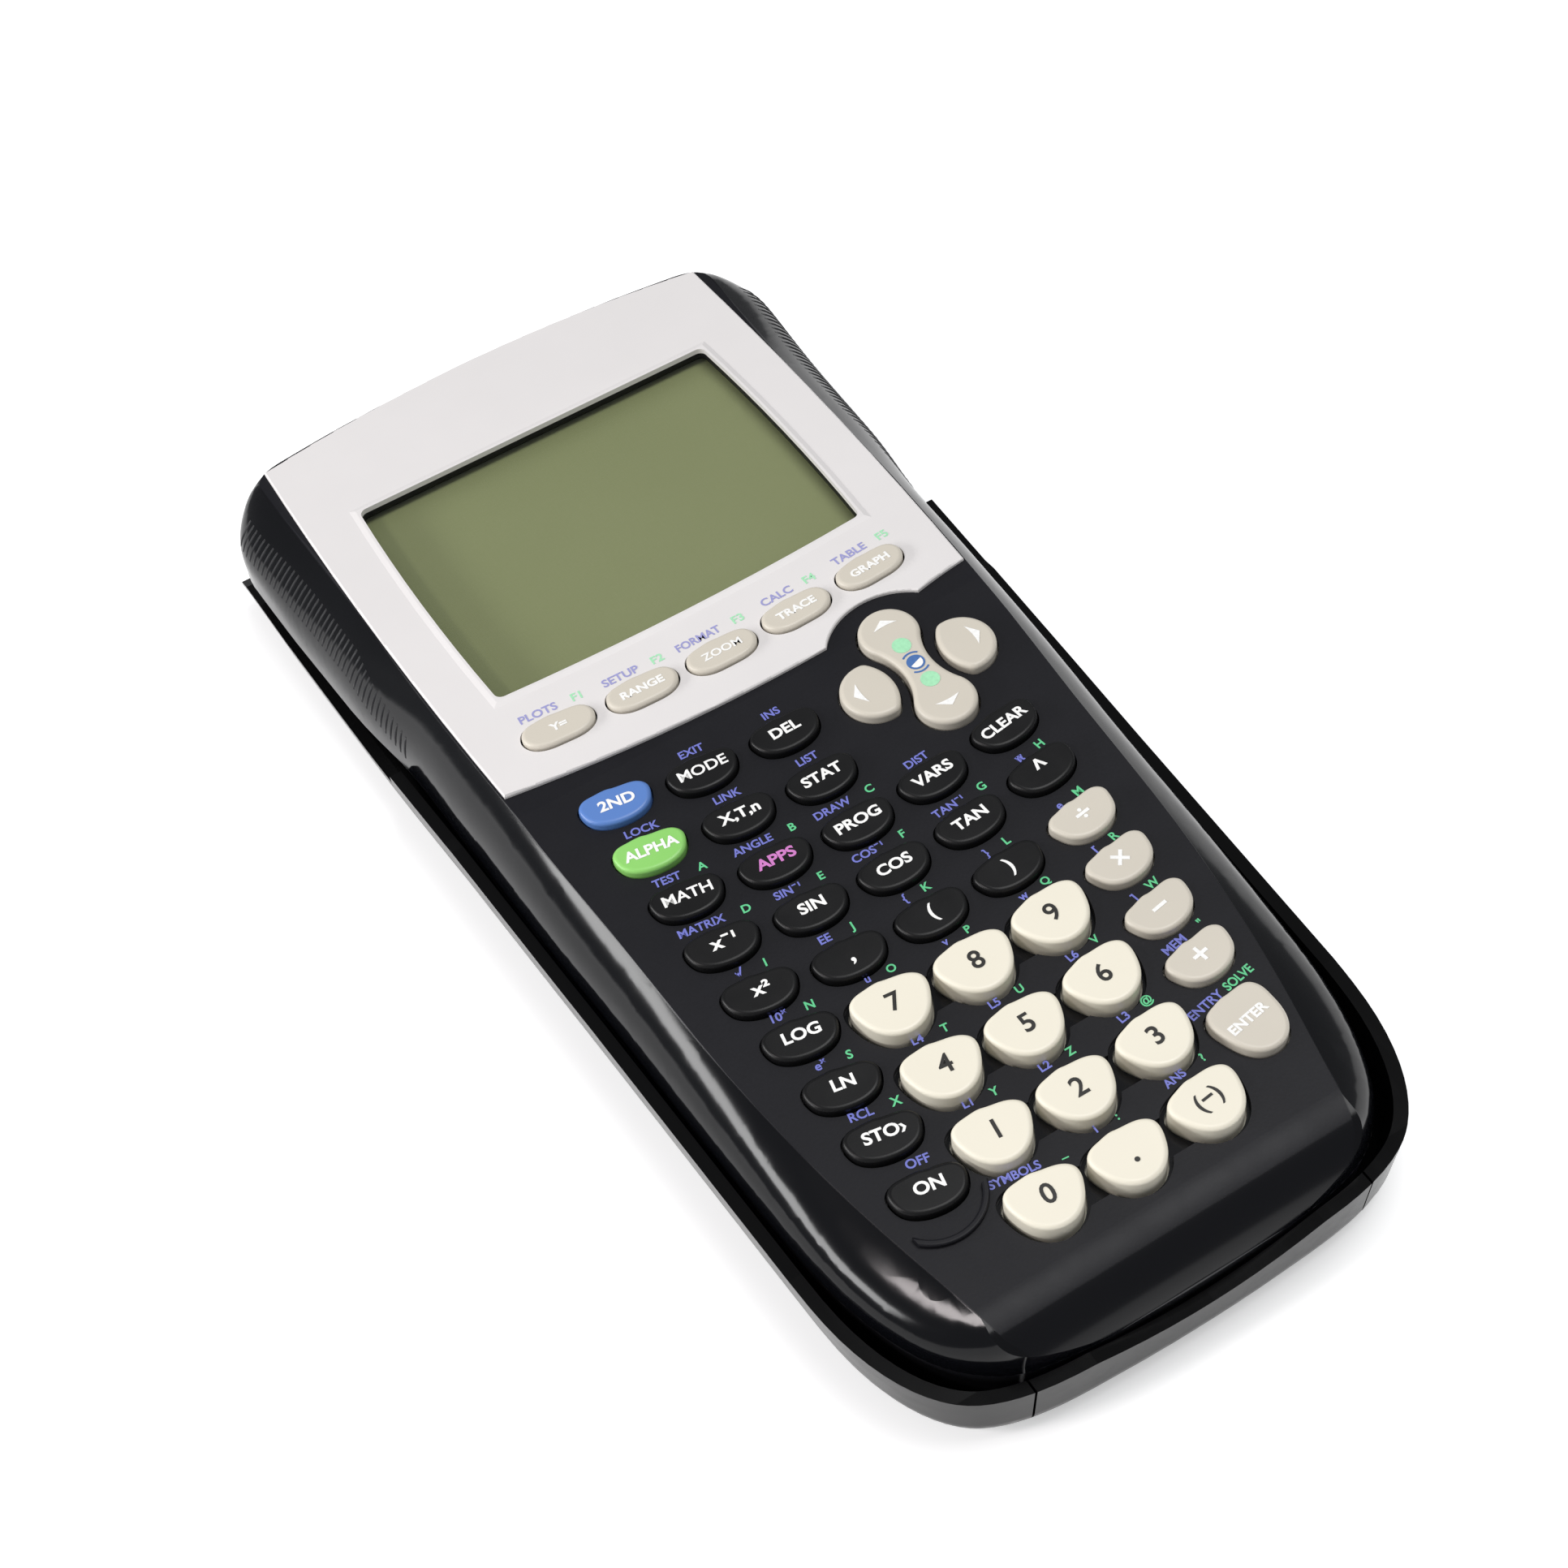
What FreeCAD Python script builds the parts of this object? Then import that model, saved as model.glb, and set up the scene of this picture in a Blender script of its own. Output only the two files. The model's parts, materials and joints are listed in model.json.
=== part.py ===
import FreeCAD, Part
import math
import os

# A handheld graphing calculator lying on its back, keys up, with its hard slide cover stowed underneath.
# Millimetres. +Z is up out of the keys, +Y points to the display end, +X to the right of a reader.
# The origin is under the middle of the slide cover, on the surface the calculator lies on.

Vector = FreeCAD.Vector

# ---- driving dimensions ----
COVER_FLOOR = 2.0
COVER_WALL = 1.8
COVER_GAP = 0.3
COVER_TOP_Y = 94.0
COVER_EDGE_RADIUS = 5.8
REAR_EDGE_RADIUS = 4.4
REAR_BOTTOM_Z = COVER_FLOOR + COVER_GAP
PARTING_Z = 12.5
CASE_WALL = 2.2
REAR_FLOOR_Z = REAR_BOTTOM_Z + 2.0
GRIP_Z = 9.0
DECK_Z = 24.4
FACEPLATE_THICKNESS = 0.6
FACE_Z = DECK_Z + FACEPLATE_THICKNESS
BOTTOM_Y = -93.2
RIM_Z = 13.4
WALL_DRAFT = 0.15

KEYPAD_TOP_Y = 8.0
KEYPAD_SLOPE = 3.0
PLATE_THICKNESS = 2.0
ROLL_RADIUS = 9.0

KEY_TRAVEL_GAP = 0.3
KEY_CLEARANCE = 0.25
FLANGE_THICKNESS = 0.8
PLUNGER_RADIUS = 1.5
PLUNGER_END = -5.5
DECK_PLUNGER_END = -4.8
DOME_TOP = -5.4
MEMBRANE_TOP = -6.6
MEMBRANE_BOTTOM = -7.2
BOARD_BOTTOM = -8.4

SLOPE_TAN = math.tan(math.radians(KEYPAD_SLOPE))

# The case's widest outline, at the parting line, as half of a symmetric closed curve.
BODY_HALF = [
    (0.0, 95.6), (16.0, 95.1), (30.0, 94.1), (38.9, 92.9), (44.1, 90.8), (46.3, 86.9), (46.6, 81.0),
    (46.2, 70.0), (45.5, 58.0), (44.6, 46.0), (43.1, 35.0), (42.6, 24.0), (42.1, 12.0), (41.6, 0.0),
    (41.0, -11.0), (40.4, -20.0), (39.4, -40.0), (38.3, -58.0), (37.6, -66.0), (36.2, -73.8),
    (34.3, -79.8), (31.9, -84.6), (28.8, -88.2), (25.6, -90.5), (20.0, -92.2), (13.9, -92.9),
    (7.0, -93.1), (0.0, BOTTOM_Y),
]
# Where those sides meet the deck and the keypad: one point per body point.
SEAM_HALF = [
    (0.0, 95.8), (15.5, 95.3), (28.5, 94.1), (35.5, 93.1), (38.9, 91.9), (39.4, 88.0), (39.0, 81.0),
    (38.5, 70.0), (38.4, 58.0), (38.3, 46.0), (38.1, 35.0), (37.7, 24.0), (37.1, 12.0), (36.5, 0.0),
    (35.7, -11.0), (35.1, -20.0), (33.9, -40.0), (31.7, -58.0), (30.3, -66.0), (28.6, -74.0),
    (27.2, -80.0), (26.1, -85.0), (24.9, -88.8), (23.2, -91.0), (19.0, -92.4), (13.6, -93.0),
    (7.0, -93.15), (0.0, BOTTOM_Y),
]
# The slide cover's outer outline at its full-height rim; its side walls run on past the case's corners.
COVER_HALF = [
    (0.0, 118.0), (25.0, 117.0), (42.0, 112.0), (47.6, 102.0), (47.9, 92.0), (47.6, 78.0), (47.3, 67.0),
    (46.95, 57.0), (46.55, 46.0), (46.0, 35.0), (45.3, 24.0), (44.6, 12.0), (44.0, 0.0), (43.4, -11.0),
    (42.9, -20.0), (42.4, -30.0), (41.9, -40.0), (41.4, -50.0), (41.0, -58.0), (40.6, -66.0),
    (39.8, -74.6), (38.1, -81.4), (35.4, -87.0), (31.6, -91.1), (27.4, -93.2), (20.5, -94.7),
    (14.0, -95.2), (7.0, -95.5), (0.0, -95.6),
]
SIDE_LEVELS = (0.0, 0.2, 0.4, 0.6, 0.8, 1.0)
SIDE_BULGE = 2.4
CORNER_BULGE = 3.6
CORNER_START_Y = 68.0
CORNER_FULL_Y = 84.0
SCOOP_RADIUS = 75.0
SCOOP_LOW_Z = 10.6
GRIP_OVERHANG = 1.6
GRIP_START_Y = 33.0
GRIP_FULL_Y = 52.0

WINDOW_HALF_WIDTH = 29.6
WINDOW_BOW = 0.7
WINDOW_TOP_Y = 74.6
WINDOW_BOTTOM_Y = 28.2
WINDOW_SAG = 1.1

RAIL_INNER_X = 39.2
BAY_HALF_WIDTH = 37.0
RAIL_Z = (6.1, 7.2)

JACK_PLACE = (-14.0, 8.4)
JACK_RADIUS = 1.3
PORT_X = (8.0, 15.8)
PORT_Z = (6.7, 10.6)
SOCKET_END_Y = 83.0

SCREW_PLACES = [(34.5, 86.0), (36.0, 23.0), (27.0, -79.0)]

# Key caps: width, reach above the key's centre, reach below it, height above the plate.
KEY_SIZES = {
    "function": (10.7, 2.6, 2.7, 1.4),
    "dark": (10.1, 3.15, 2.8, 1.2),
    "number": (10.4, 3.9, 4.4, 2.2),
    "operator": (9.7, 3.0, 3.2, 1.5),
    "enter": (9.0, 4.8, 4.7, 1.6),
}
# A cap's right half, from the middle of its top edge to the middle of its bottom edge,
# as fractions of half its width and of its reach above or below the centre.
CAP_SHAPES = {
    "function": [(0.0, 1.0), (0.5, 0.93), (0.86, 0.68), (1.0, 0.05), (0.87, -0.58), (0.5, -0.95),
                 (0.0, -1.0)],
    "dark": [(0.0, 1.0), (0.48, 0.95), (0.83, 0.8), (0.98, 0.5), (0.97, 0.05), (0.82, -0.48),
             (0.46, -0.88), (0.0, -1.0)],
    "number": [(0.0, 1.0), (0.45, 0.94), (0.79, 0.81), (0.96, 0.6), (1.0, 0.34), (0.93, -0.08),
               (0.73, -0.55), (0.41, -0.88), (0.0, -1.0)],
    "operator": [(0.0, 1.0), (0.48, 0.96), (0.84, 0.84), (0.99, 0.55), (0.97, 0.08), (0.82, -0.45),
                 (0.46, -0.87), (0.0, -1.0)],
    "enter": [(0.0, 1.0), (0.46, 0.97), (0.82, 0.87), (0.98, 0.62), (0.98, 0.2), (0.84, -0.4),
              (0.46, -0.87), (0.0, -1.0)],
}
# Rows of five keys that follow a smile: middle key's Y, rise of columns 2 and 4, rise of columns 1 and 5,
# the distance from the middle of columns 2, 4 and of 1 and 5 together, the turn of columns 2 and 1 in
# degrees, and the size of the inner caps.
KEY_ROWS = [
    ("function", ("plot", "range", "zoom", "trace", "graph"), 17.0, (0.5, 1.4), (12.4, 12.4, 25.1),
     (2, 4), 1.0),
    ("dark", ("second", "mode", "delete", None, None), -0.9, (0.6, 2.6), (12.6, 12.6, 24.9), (4, 8), 1.0),
    ("dark", ("alpha", "variable", "stat", None, None), -10.4, (0.8, 2.7), (12.4, 12.4, 24.9), (4, 8), 1.0),
    ("dark", ("math", "apps", "program", "vars", "clear"), -19.4, (0.8, 2.5), (12.2, 12.2, 24.6),
     (4, 8), 1.0),
    ("dark", ("reciprocal", "sin", "cos", "tan", "power"), -28.1, (0.6, 2.3), (12.2, 12.2, 24.5),
     (4, 8), 1.0),
    ("dark", ("square", "comma", "paren_open", "paren_close", "divide"), -36.9, (0.4, 2.3),
     (12.1, 12.1, 24.2), (4, 9), 1.0),
    ("number", ("log", "7", "8", "9", "multiply"), -46.4, (0.6, 3.3), (11.9, 12.0, 24.0), (6, 9), 1.01),
    ("number", ("ln", "4", "5", "6", "minus"), -57.5, (0.7, 5.5), (11.7, 12.0, 23.7), (7, 10), 0.99),
    ("number", ("store", "1", "2", "3", "plus"), -68.4, (0.7, 7.8), (11.6, 12.0, 23.6), (7, 10), 0.97),
    ("number", ("on", "0", "point", "negate", "enter"), -78.9, (0.7, 9.4), (11.4, 11.9, 23.3),
     (7, 10), 0.955),
]
ENTER_PLACE = (23.0, -71.9)
OUTER_DARK_X = {"log": -23.6, "ln": -23.1, "store": -22.7, "on": -22.1}
DARK_SHIFT_X = -0.2
OPERATORS = ("divide", "multiply", "minus", "plus")
OPERATOR_SHIFT = (0.2, -0.4)

ARROW_CENTRE = (20.4, -1.2)
ARROW_HEIGHT = 1.5
ROCKER_HALF_LENGTH = 11.5
ROCKER_LOBE_RADIUS = 4.35
ROCKER_WAIST = 4.7
PETAL_OFFSET = 6.9
PIVOT_DEPTH = 1.1
PIVOT_RADIUS = 0.45
PIVOT_REACH = 3.2


# ---- small helpers ----
def mirror_half(points):
    """Full closed list of points from a right half that starts and ends on the Y axis."""
    return points + [(-x, y) for x, y in reversed(points[1:-1])]


def grow(points, distance):
    """Move each point of a closed, clockwise list outwards by a distance."""
    moved = []
    for i, (x, y) in enumerate(points):
        before = points[i - 1]
        after = points[(i + 1) % len(points)]
        dx = after[0] - before[0]
        dy = after[1] - before[1]
        length = math.hypot(dx, dy)
        moved.append((x - distance * dy / length, y + distance * dx / length))
    return moved


def smooth_wire(points, height):
    """Closed smooth curve through points; height is a number or a function of y."""
    place = [Vector(x, y, height(y) if callable(height) else height) for x, y in points]
    curve = Part.BSplineCurve()
    curve.interpolate(place, PeriodicFlag=True)
    return Part.Wire([curve.toShape()])


def prism(wire, depth):
    return Part.Face(wire).extrude(Vector(0, 0, depth))


def box(x0, x1, y0, y1, z0, z1):
    return Part.makeBox(x1 - x0, y1 - y0, z1 - z0, Vector(x0, y0, z0))


def rod(radius, x, y, z0, z1):
    return Part.makeCylinder(radius, z1 - z0, Vector(x, y, z0))


def fuse(shapes):
    return shapes[0].multiFuse(shapes[1:]).removeSplitter()


def rounded(shape, radius, picks):
    """Fillet the edges for which picks(edge) is true."""
    return shape.makeFillet(radius, [e for e in shape.Edges if picks(e)])


def at_height(z):
    return lambda edge: abs(edge.BoundBox.ZMin - z) < 1e-4 and abs(edge.BoundBox.ZMax - z) < 1e-4


def side_profile(points_yz, half_width=60.0):
    """Solid whose YZ outline is given by edges or points, extruded along X."""
    corners = [Vector(-half_width, y, z) for y, z in points_yz]
    return Part.Face(Part.makePolygon(corners + corners[:1])).extrude(Vector(2 * half_width, 0, 0))


def keypad_frame(shape):
    """Turn a shape drawn on the flat XY plane onto the sloping keypad plane."""
    turned = shape.copy()
    origin = Vector(0, KEYPAD_TOP_Y, DECK_Z)
    turned.Placement = FreeCAD.Placement(origin, FreeCAD.Rotation(Vector(1, 0, 0), KEYPAD_SLOPE))
    return turned


def both_sides(places):
    return [(side * x, y) for x, y in places for side in (-1, 1)]


# ---- outlines ----
BODY = mirror_half(BODY_HALF)
SEAM = mirror_half(SEAM_HALF)
COVER = mirror_half(COVER_HALF)


def drafted(outline, inset, z):
    """An outline drawn in by an inset and by the moulding draft at a height below the rim."""
    return smooth_wire(grow(outline, -inset - WALL_DRAFT * (RIM_Z - z)), z)


def rear_outline():
    """The rear case's outline: the body's, drawn in under the wide grip at the display end."""
    narrowed = []
    for x, y in BODY:
        share = min(1.0, max(0.0, (y - GRIP_START_Y) / (GRIP_FULL_Y - GRIP_START_Y)))
        narrowed.append((x - math.copysign(GRIP_OVERHANG * share, x) if abs(x) > 40 else x, y))
    return narrowed


def plane_height(y):
    """Height of the sloping keypad plane, carried on under the display."""
    return DECK_Z + SLOPE_TAN * (y - KEYPAD_TOP_Y)


def side_loft(inset):
    """Solid bounded by the bulging sides of the front case, drawn in by an inset.

    It ends on a sloping plane just above the keypad and well above the flat deck.
    """
    wires = []
    for level in SIDE_LEVELS:
        outline = []
        for (bx, by), (sx, sy) in zip(BODY, SEAM):
            seam_z = min(DECK_Z, plane_height(sy))
            seam_level = (seam_z - PARTING_Z) / (plane_height(sy) + 0.9 - PARTING_Z)
            corner = min(1.0, max(0.0, (by - CORNER_START_Y) / (CORNER_FULL_Y - CORNER_START_Y)))
            bulge = SIDE_BULGE + (CORNER_BULGE - SIDE_BULGE) * corner
            share = (level / seam_level) ** bulge
            outline.append((bx + (sx - bx) * share, by + (sy - by) * share))

        def height(y, level=level):
            return PARTING_Z + level * (plane_height(y) + 0.9 - PARTING_Z)

        wires.append(smooth_wire(grow(outline, -inset), height))
    return Part.makeLoft(wires, True, False)


def window_wire(growth, z):
    """The display window: bowed sides, sagging lower edge, straight upper edge."""
    x = WINDOW_HALF_WIDTH + growth
    bow = x + WINDOW_BOW
    y1 = WINDOW_TOP_Y + growth
    y0 = WINDOW_BOTTOM_Y - growth
    middle = (y0 + y1) / 2
    left = Part.Arc(Vector(-x, y0, z), Vector(-bow, middle, z), Vector(-x, y1, z)).toShape()
    top = Part.LineSegment(Vector(-x, y1, z), Vector(x, y1, z)).toShape()
    right = Part.Arc(Vector(x, y1, z), Vector(bow, middle, z), Vector(x, y0, z)).toShape()
    low = Part.Arc(Vector(x, y0, z), Vector(0, y0 - WINDOW_SAG, z), Vector(-x, y0, z)).toShape()
    return Part.Wire([left, top, right, low])


def window_prism(growth, z0, z1):
    block = prism(window_wire(growth, z0), z1 - z0)
    return rounded(block, 1.2, lambda e: e.BoundBox.ZLength > 0.9 * (z1 - z0))


# ---- keys ----
def cap_outline(kind, size, extra_x, extra_y):
    width, above, below, _ = KEY_SIZES[kind]
    half = size * width / 2 + extra_x
    points = []
    for fx, fy in CAP_SHAPES[kind]:
        reach = size * (above if fy > 0 else below) + extra_y
        points.append((half * fx, reach * fy))
    return mirror_half(points)


def place_on_keypad(shape, x, y, turn):
    """Stand a shape drawn about the origin at a plan position on the keypad plane."""
    flat = shape.copy()
    along = (y - KEYPAD_TOP_Y) / math.cos(math.radians(KEYPAD_SLOPE))
    flat.Placement = FreeCAD.Placement(Vector(x, along, 0), FreeCAD.Rotation(Vector(0, 0, 1), turn))
    tilt = FreeCAD.Rotation(Vector(1, 0, 0), KEYPAD_SLOPE)
    flat.Placement = FreeCAD.Placement(Vector(0, KEYPAD_TOP_Y, DECK_Z), tilt).multiply(flat.Placement)
    return flat


def place_key(shape, x, y, turn):
    """Stand a key's shape on the flat deck above the keypad's top edge, or on the sloping keypad below it."""
    if y <= KEYPAD_TOP_Y:
        return place_on_keypad(shape, x, y, turn)
    flat = shape.copy()
    flat.Placement = FreeCAD.Placement(Vector(x, y, DECK_Z), FreeCAD.Rotation(Vector(0, 0, 1), turn))
    return flat


def key_cap(kind, size):
    """A key: rounded cap, retaining flange under the plate and the plunger that meets the dome."""
    height = KEY_SIZES[kind][3]
    flange_top = -PLATE_THICKNESS - KEY_TRAVEL_GAP
    cap = prism(smooth_wire(cap_outline(kind, size, 0, 0), flange_top - 0.1), height - flange_top + 0.1)
    cap = rounded(cap, 0.6, at_height(height))
    rim = smooth_wire(cap_outline(kind, size, 0.35, 0.7), flange_top - FLANGE_THICKNESS)
    flange = prism(rim, FLANGE_THICKNESS)
    plunger_end = DECK_PLUNGER_END if kind == "function" else PLUNGER_END
    plunger = rod(PLUNGER_RADIUS, 0, 0, plunger_end, flange_top - FLANGE_THICKNESS / 2)
    return fuse([cap, flange, plunger])


def key_layout():
    """Every straight-travel key as name, kind, size, x, y and turn in degrees."""
    keys = []
    for kind, names, y, rises, columns, turns, size in KEY_ROWS:
        xs = (-columns[2], -columns[0], 0.0, columns[1], columns[2])
        lifts = (rises[1], rises[0], 0.0, rises[0], rises[1])
        angles = (-turns[1], -turns[0], 0.0, turns[0], turns[1])
        for name, x, lift, angle in zip(names, xs, lifts, angles):
            if name is None:
                continue
            if name in OUTER_DARK_X:
                keys.append((name, "dark", 1.0, OUTER_DARK_X[name], y + lift, angle))
            elif name in OPERATORS:
                place = (x + OPERATOR_SHIFT[0], y + lift + OPERATOR_SHIFT[1])
                keys.append((name, "operator", 1.0, *place, angle))
            elif name == "enter":
                keys.append((name, "enter", 1.0, *ENTER_PLACE, angle))
            elif kind == "dark" and x < 20:
                keys.append((name, kind, size, x + DARK_SHIFT_X, y + lift, angle))
            else:
                keys.append((name, kind, size, x, y + lift, angle))
    return keys


def rocker_wire(extra, z):
    """Dog-bone outline of the up and down rocker: two round lobes and a narrow waist."""
    radius = ROCKER_LOBE_RADIUS + extra
    centre = ROCKER_HALF_LENGTH - ROCKER_LOBE_RADIUS
    lean = math.radians(-28)
    jx = radius * math.cos(lean)
    jy = centre + radius * math.sin(lean)
    waist = ROCKER_WAIST / 2 + extra
    tip = centre + radius
    edges = [
        Part.Arc(Vector(-jx, jy, z), Vector(0, tip, z), Vector(jx, jy, z)),
        Part.Arc(Vector(jx, jy, z), Vector(waist, 0, z), Vector(jx, -jy, z)),
        Part.Arc(Vector(jx, -jy, z), Vector(0, -tip, z), Vector(-jx, -jy, z)),
        Part.Arc(Vector(-jx, -jy, z), Vector(-waist, 0, z), Vector(-jx, jy, z)),
    ]
    return Part.Wire([e.toShape() for e in edges])


def pivot_rod(radius, reach):
    """Cylinder along the rocker's tipping axis."""
    return Part.makeCylinder(radius, 2 * reach, Vector(-reach, 0, -PIVOT_DEPTH), Vector(1, 0, 0))


def rocker():
    """Up and down rocker: it tips on two stub pivots at its waist, its flange well below the plate."""
    body = prism(rocker_wire(0, -4.1), ARROW_HEIGHT + 4.1)
    body = rounded(body, 0.7, at_height(ARROW_HEIGHT))
    flange = prism(rocker_wire(0.7, -4.2), 0.7)
    plungers = [rod(PLUNGER_RADIUS, 0, y, PLUNGER_END, -4) for y in (-7.0, 7.0)]
    return fuse([body, flange, pivot_rod(PIVOT_RADIUS, PIVOT_REACH)] + plungers)


def petal_wire(extra, z):
    """Left or right arrow key, drawn for the right side: deep outer arc and a shallow inner one."""
    tip = 4.7 + extra
    outer = 5.0 + extra
    inner = -2.8 - extra
    edges = [
        Part.Arc(Vector(-0.9, tip, z), Vector(outer, 0, z), Vector(-0.9, -tip, z)),
        Part.Arc(Vector(-0.9, -tip, z), Vector(inner, 0, z), Vector(-0.9, tip, z)),
    ]
    return Part.Wire([e.toShape() for e in edges])


def petal_block(extra, z0, z1):
    block = prism(petal_wire(extra, z0), z1 - z0)
    return rounded(block, 1.5, lambda e: e.BoundBox.ZLength > 0.9 * (z1 - z0))


def arrow_petal():
    flange_top = -PLATE_THICKNESS - KEY_TRAVEL_GAP
    cap = petal_block(0, flange_top - 0.1, ARROW_HEIGHT)
    cap = rounded(cap, 0.7, at_height(ARROW_HEIGHT))
    flange = petal_block(0.5, flange_top - FLANGE_THICKNESS, flange_top)
    plunger = rod(PLUNGER_RADIUS, 0.8, 0, PLUNGER_END, flange_top - FLANGE_THICKNESS / 2)
    return fuse([cap, flange, plunger])


# ---- case parts ----
def deck_solid(drop):
    """Everything below the deck, keypad slope and end roll, lowered by a drop."""
    slope = math.radians(KEYPAD_SLOPE)
    roll_y = BOTTOM_Y + ROLL_RADIUS
    roll_z = DECK_Z + SLOPE_TAN * (roll_y - KEYPAD_TOP_Y) - ROLL_RADIUS / math.cos(slope)
    radius = ROLL_RADIUS - drop
    start_angle = math.asin((PARTING_Z - roll_z) / radius)
    angles = (math.pi - start_angle, math.pi * 0.75, math.pi / 2 + slope)
    arc = [Vector(-60, roll_y + radius * math.cos(a), roll_z + radius * math.sin(a)) for a in angles]
    top = DECK_Z - drop
    low = PARTING_Z
    corners = [arc[2], Vector(-60, KEYPAD_TOP_Y, top), Vector(-60, 110, top), Vector(-60, 110, low), arc[0]]
    wire = Part.Wire([Part.Arc(*arc).toShape()] + Part.makePolygon(corners).Edges)
    return Part.Face(wire).extrude(Vector(120, 0, 0))


def screw_bosses(radius, z0, z1):
    return [rod(radius, x, y, z0, z1) for x, y in both_sides(SCREW_PLACES)]


def number_pockets():
    """Recessed channels that join the three number keys of a row."""
    cutters = []
    for kind, _, y, rises, columns, turns, size in KEY_ROWS:
        if kind != "number":
            continue
        x_left, x_right, lift_out, turn_out = -columns[0], columns[1], rises[0], turns[0]
        for x, lift, turn in ((x_left, lift_out, -turn_out), (0, 0, 0), (x_right, lift_out, turn_out)):
            pocket = prism(smooth_wire(cap_outline("number", size, 0.75, 0.75), -1.1), 3)
            cutters.append(place_on_keypad(pocket, x, y + lift, turn))
        bridge = box(x_left, x_right, -2.2, 2.9, -1.1, 2)
        cutters.append(place_on_keypad(bridge, 0, y, 0))
    return fuse(cutters)


def on_key_guard(keys):
    """Low crescent ridge that guards the on key against a stray thumb."""
    x, y = [(k[3], k[4]) for k in keys if k[0] == "on"][0]
    ring = rod(7.0, 0, 0, -0.5, 0.7).cut(rod(6.1, 0, 0, -1, 1))
    ring = rounded(ring, 0.3, at_height(0.7))
    return place_on_keypad(ring.common(box(-5.5, 6.5, -8, -3.0, -1, 1)), x, y, 8)


def front_case(holes, keys):
    shell = side_loft(0).common(deck_solid(0))
    hollow = side_loft(CASE_WALL).common(deck_solid(PLATE_THICKNESS))
    bosses = [boss.common(shell) for boss in screw_bosses(2.6, PARTING_Z, DECK_Z)]
    case = shell.cut(hollow)
    case = case.multiFuse(bosses + [on_key_guard(keys)])
    case = case.cut(number_pockets())
    cutters = holes + screw_bosses(1.05, PARTING_Z - 1, PARTING_Z + 4.5)
    cutters.append(window_prism(0.0, 15, 30))
    cutters.append(window_prism(1.6, 20, 23.3))
    return case.cut(cutters)


def faceplate(holes):
    """Light display surround: arched top, bowed sides, lower edge that arches over the arrow keys."""
    z = DECK_Z
    left_top = Vector(-37.8, 91.9, z)
    left_low = Vector(-36.8, 12.1, z)
    right_low = Vector(36.8, 12.1, z)
    right_top = Vector(37.8, 91.9, z)
    arch = [Vector(28.3, 10.7, z), Vector(20.4, 13.6, z), Vector(12.2, 9.2, z)]
    edges = [
        Part.Arc(left_low, Vector(-38.2, 51, z), left_top),
        Part.Arc(left_top, Vector(0, 95.4, z), right_top),
        Part.Arc(right_top, Vector(38.2, 51, z), right_low),
        Part.Arc(right_low, Vector(33, 11.6, z), arch[0]),
        Part.Arc(*arch),
        Part.Arc(arch[2], Vector(-12.5, 9.4, z), left_low),
    ]
    plate = prism(Part.Wire([e.toShape() for e in edges]), FACEPLATE_THICKNESS)
    plate = rounded(plate, 0.25, at_height(FACE_Z))
    lip = Part.makeLoft([window_wire(1.2, FACE_Z - 0.01), window_wire(0.4, FACE_Z + 0.25)], True, True)
    return plate.fuse(lip).cut(holes + [window_prism(0.0, DECK_Z - 1, FACE_Z + 2)])


def rear_case():
    rear = rear_outline()
    low = Part.makeLoft([drafted(rear, 0, REAR_BOTTOM_Z), drafted(rear, 0, GRIP_Z)], True, True)
    low = rounded(low, REAR_EDGE_RADIUS, at_height(REAR_BOTTOM_Z))
    grip = Part.makeLoft([drafted(rear, 0, GRIP_Z), smooth_wire(BODY, PARTING_Z)], True, True)
    hollow = prism(drafted(rear, CASE_WALL, REAR_FLOOR_Z), PARTING_Z - REAR_FLOOR_Z)
    hollow = hollow.common(box(-BAY_HALF_WIDTH, BAY_HALF_WIDTH, -100, 100, 0, 20))
    outside = low.fuse(grip)
    jack_x, jack_z = JACK_PLACE
    shrouds = [box(jack_x - 4, jack_x + 4, SOCKET_END_Y - 1.5, 97, REAR_BOTTOM_Z + 1, PARTING_Z),
               box(PORT_X[0] - 2, PORT_X[1] + 2, SOCKET_END_Y - 1.5, 97, REAR_BOTTOM_Z + 1, PARTING_Z)]
    inner = [shroud.common(outside) for shroud in shrouds] + screw_bosses(3.2, REAR_BOTTOM_Z + 0.5, PARTING_Z)
    case = outside.cut(hollow).multiFuse(inner)
    grooves = [box(38.9, 60, -100, 88, RAIL_Z[0] - COVER_GAP, RAIL_Z[1] + COVER_GAP),
               box(-60, -38.9, -100, 88, RAIL_Z[0] - COVER_GAP, RAIL_Z[1] + COVER_GAP)]
    screws = screw_bosses(1.3, 0, PARTING_Z + 1) + screw_bosses(2.6, 0, REAR_BOTTOM_Z + 2.0)
    bay = box(-26, 26, 31, 80, 0, REAR_FLOOR_Z + 1)
    jack = Part.makeCylinder(JACK_RADIUS, 97 - SOCKET_END_Y, Vector(jack_x, 97, jack_z), Vector(0, -1, 0))
    port = box(*PORT_X, SOCKET_END_Y + 2, 97, *PORT_Z)
    return case.cut(grooves + screws + [bay, jack, port])


def battery_door():
    panel = box(-25.8, 25.8, 31.2, 79.8, REAR_BOTTOM_Z, REAR_FLOOR_Z)
    grip = [box(-8, 8, y, y + 1.0, REAR_BOTTOM_Z - 1, REAR_BOTTOM_Z + 0.6) for y in (34, 36, 38)]
    return panel.cut(grip)


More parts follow.
